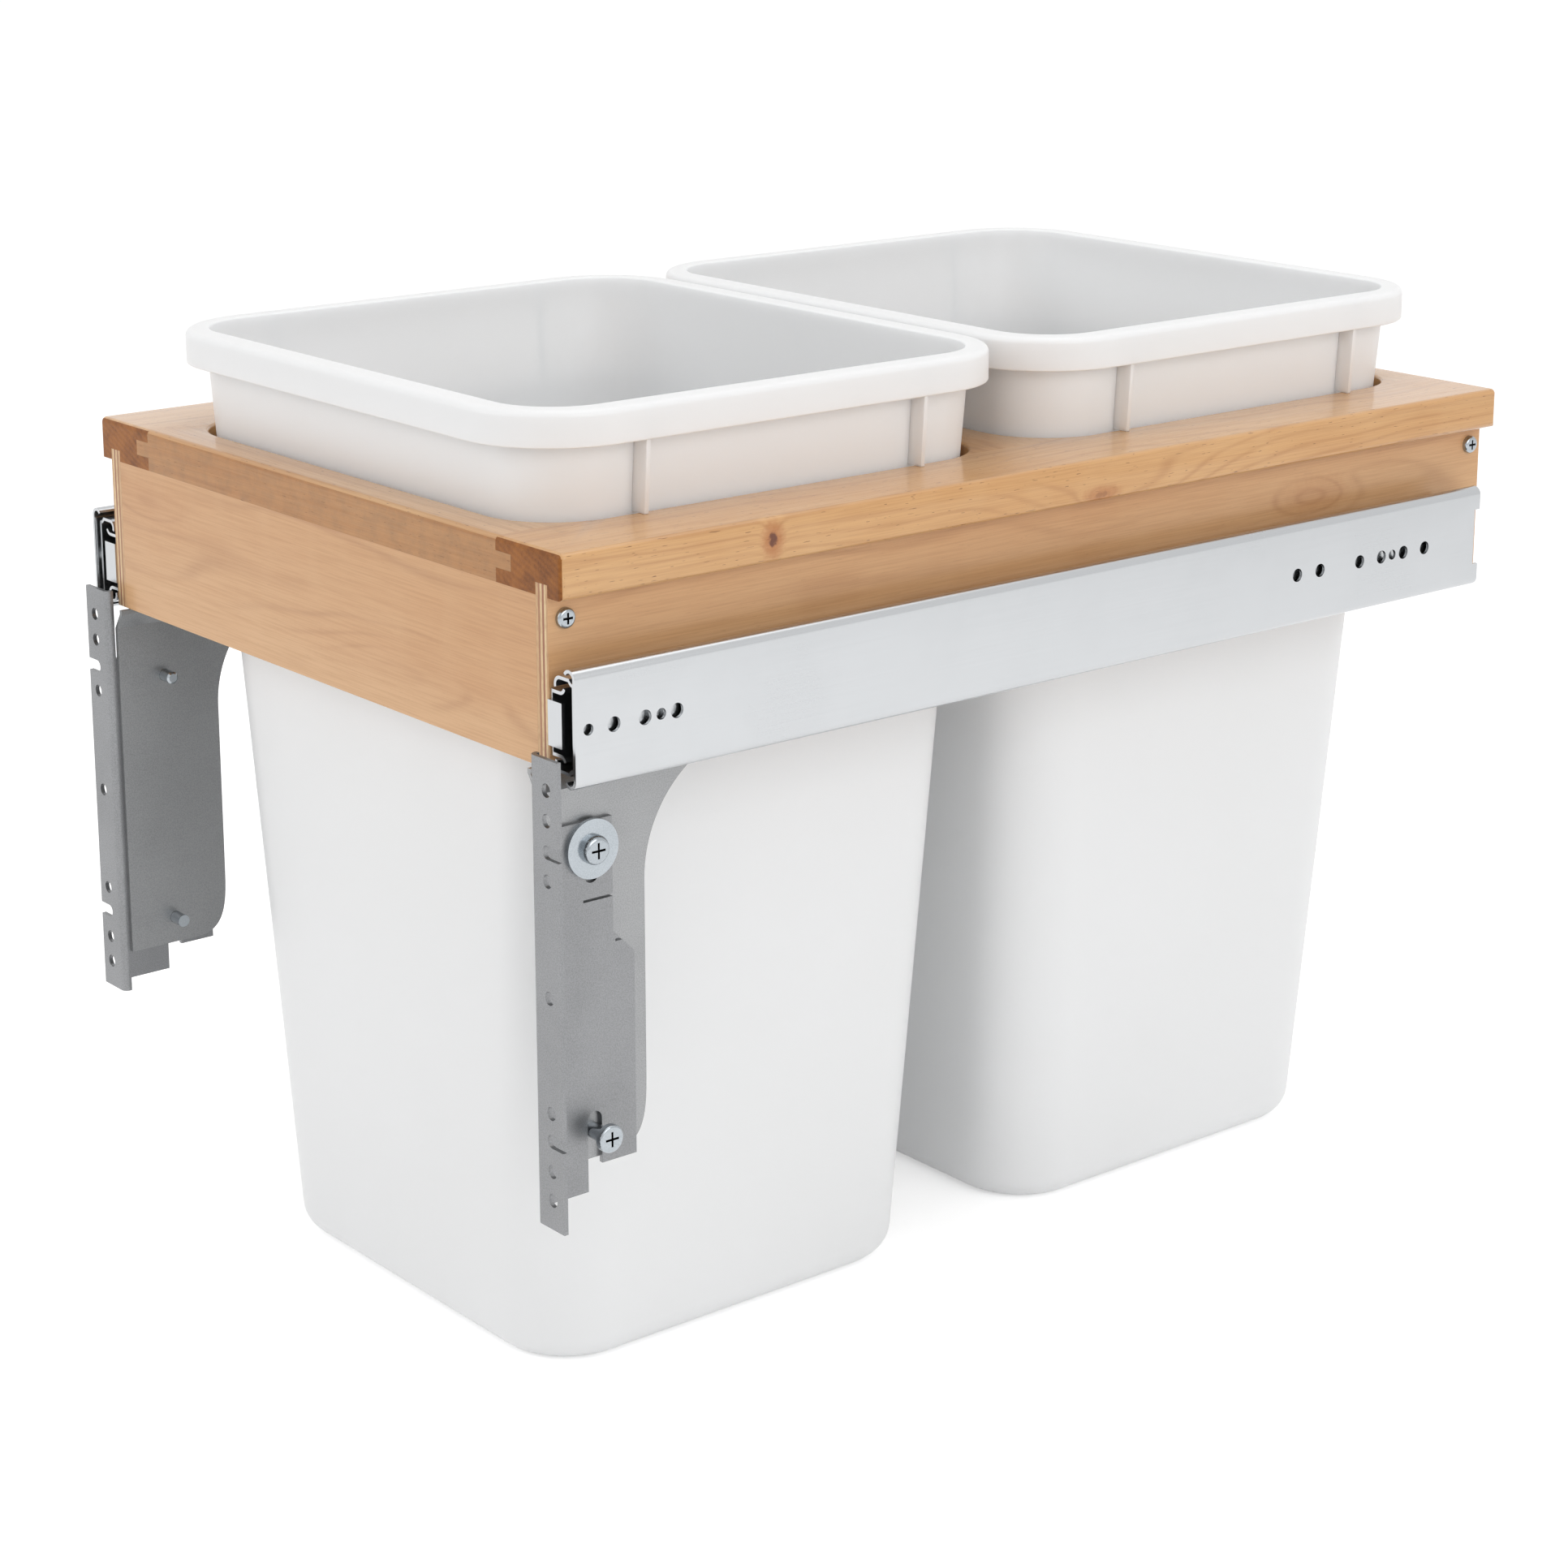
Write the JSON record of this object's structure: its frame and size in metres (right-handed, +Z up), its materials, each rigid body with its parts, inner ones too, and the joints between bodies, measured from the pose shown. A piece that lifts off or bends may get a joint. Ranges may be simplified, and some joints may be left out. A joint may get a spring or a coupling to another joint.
{
  "type": "pull-out waste bin unit",
  "caption": "Top-mount pull-out for a base cabinet: a wooden top holding lift-out waste bins, on ball slides, with brackets for the door.",
  "frame": {"origin": "centre of the fitting's bounding box on the plane of the bins' undersides", "axes": "+Z up; -Y out of the cabinet, the way the unit pulls out towards its door; +X to the right of someone who faces the cabinet"},
  "size_m": [0.3872, 0.5684, 0.4349],
  "materials": {
    "maple": "clear satin lacquer",
    "plywood": "clear satin lacquer",
    "bin_plastic": "smooth, slightly glossy",
    "slide_steel": "satin zinc plate",
    "ball_steel": "polished",
    "bracket_steel": "grey zinc plate",
    "screw_steel": "bright zinc plate",
    "bumper_rubber": "matte"
  },
  "bodies": {
    "cabinet_members": {"cabinet_member_left": "slide_steel", "cabinet_member_right": "slide_steel", "rear_bumper_left": "bumper_rubber", "rear_bumper_right": "bumper_rubber"},
    "carriage": {"top_side_rail_left": "maple", "top_side_rail_right": "maple", "top_front_rail": "maple", "top_middle_rail": "maple", "top_back_rail": "maple", "side_panel_left": "plywood", "side_panel_right": "plywood", "front_panel": "plywood", "back_panel": "plywood", "panel_screws": "screw_steel", "drawer_member_left": "slide_steel", "drawer_member_right": "slide_steel", "slide_screws_left": "screw_steel", "slide_screws_right": "screw_steel", "gusset_plate_left": "bracket_steel", "gusset_plate_right": "bracket_steel", "gusset_screws_left": "screw_steel", "gusset_screws_right": "screw_steel", "clamp_screw_left": "screw_steel", "clamp_screw_right": "screw_steel", "clamp_washer_left": "screw_steel", "clamp_washer_right": "screw_steel", "shoulder_screw_left": "screw_steel", "shoulder_screw_right": "screw_steel"},
    "intermediate_left": {"intermediate_member_left": "slide_steel"},
    "outer_cage_left": {"outer_ball_cage_left": "slide_steel", "outer_balls_left": "ball_steel"},
    "inner_cage_left": {"inner_ball_cage_left": "slide_steel", "inner_balls_left": "ball_steel"},
    "door_bracket_left": {"door_bracket_left": "bracket_steel"},
    "intermediate_right": {"intermediate_member_right": "slide_steel"},
    "outer_cage_right": {"outer_ball_cage_right": "slide_steel", "outer_balls_right": "ball_steel"},
    "inner_cage_right": {"inner_ball_cage_right": "slide_steel", "inner_balls_right": "ball_steel"},
    "door_bracket_right": {"door_bracket_right": "bracket_steel"},
    "bin_front": {"bin_front": "bin_plastic"},
    "bin_back": {"bin_back": "bin_plastic"}
  },
  "joints": [
    {"name": "pull_out", "type": "slide", "parent": "cabinet_members", "child": "carriage", "axis": [0, -1, 0], "range_m": [0, 0.51]},
    {"name": "intermediate_left_slide", "type": "slide", "parent": "cabinet_members", "child": "intermediate_left", "axis": [0, -1, 0], "range_m": [0, 0.255]},
    {"name": "outer_cage_left_slide", "type": "slide", "parent": "cabinet_members", "child": "outer_cage_left", "axis": [0, -1, 0], "range_m": [0, 0.1275]},
    {"name": "inner_cage_left_slide", "type": "slide", "parent": "cabinet_members", "child": "inner_cage_left", "axis": [0, -1, 0], "range_m": [0, 0.3825]},
    {"name": "door_bracket_left_height", "type": "slide", "parent": "carriage", "child": "door_bracket_left", "axis": [0, 0, 1], "range_m": [-0.003, 0.01]},
    {"name": "intermediate_right_slide", "type": "slide", "parent": "cabinet_members", "child": "intermediate_right", "axis": [0, -1, 0], "range_m": [0, 0.255]},
    {"name": "outer_cage_right_slide", "type": "slide", "parent": "cabinet_members", "child": "outer_cage_right", "axis": [0, -1, 0], "range_m": [0, 0.1275]},
    {"name": "inner_cage_right_slide", "type": "slide", "parent": "cabinet_members", "child": "inner_cage_right", "axis": [0, -1, 0], "range_m": [0, 0.3825]},
    {"name": "door_bracket_right_height", "type": "slide", "parent": "carriage", "child": "door_bracket_right", "axis": [0, 0, 1], "range_m": [-0.003, 0.01]},
    {"name": "bin_front_lift", "type": "slide", "parent": "carriage", "child": "bin_front", "axis": [0, 0, 1], "range_m": [0, 0.4]},
    {"name": "bin_back_lift", "type": "slide", "parent": "carriage", "child": "bin_back", "axis": [0, 0, 1], "range_m": [0, 0.4]}
  ],
  "couplings": [
    {"joint": "intermediate_left_slide", "follows": "pull_out", "ratio": 0.5},
    {"joint": "outer_cage_left_slide", "follows": "pull_out", "ratio": 0.25},
    {"joint": "inner_cage_left_slide", "follows": "pull_out", "ratio": 0.75},
    {"joint": "intermediate_right_slide", "follows": "pull_out", "ratio": 0.5},
    {"joint": "outer_cage_right_slide", "follows": "pull_out", "ratio": 0.25},
    {"joint": "inner_cage_right_slide", "follows": "pull_out", "ratio": 0.75}
  ]
}
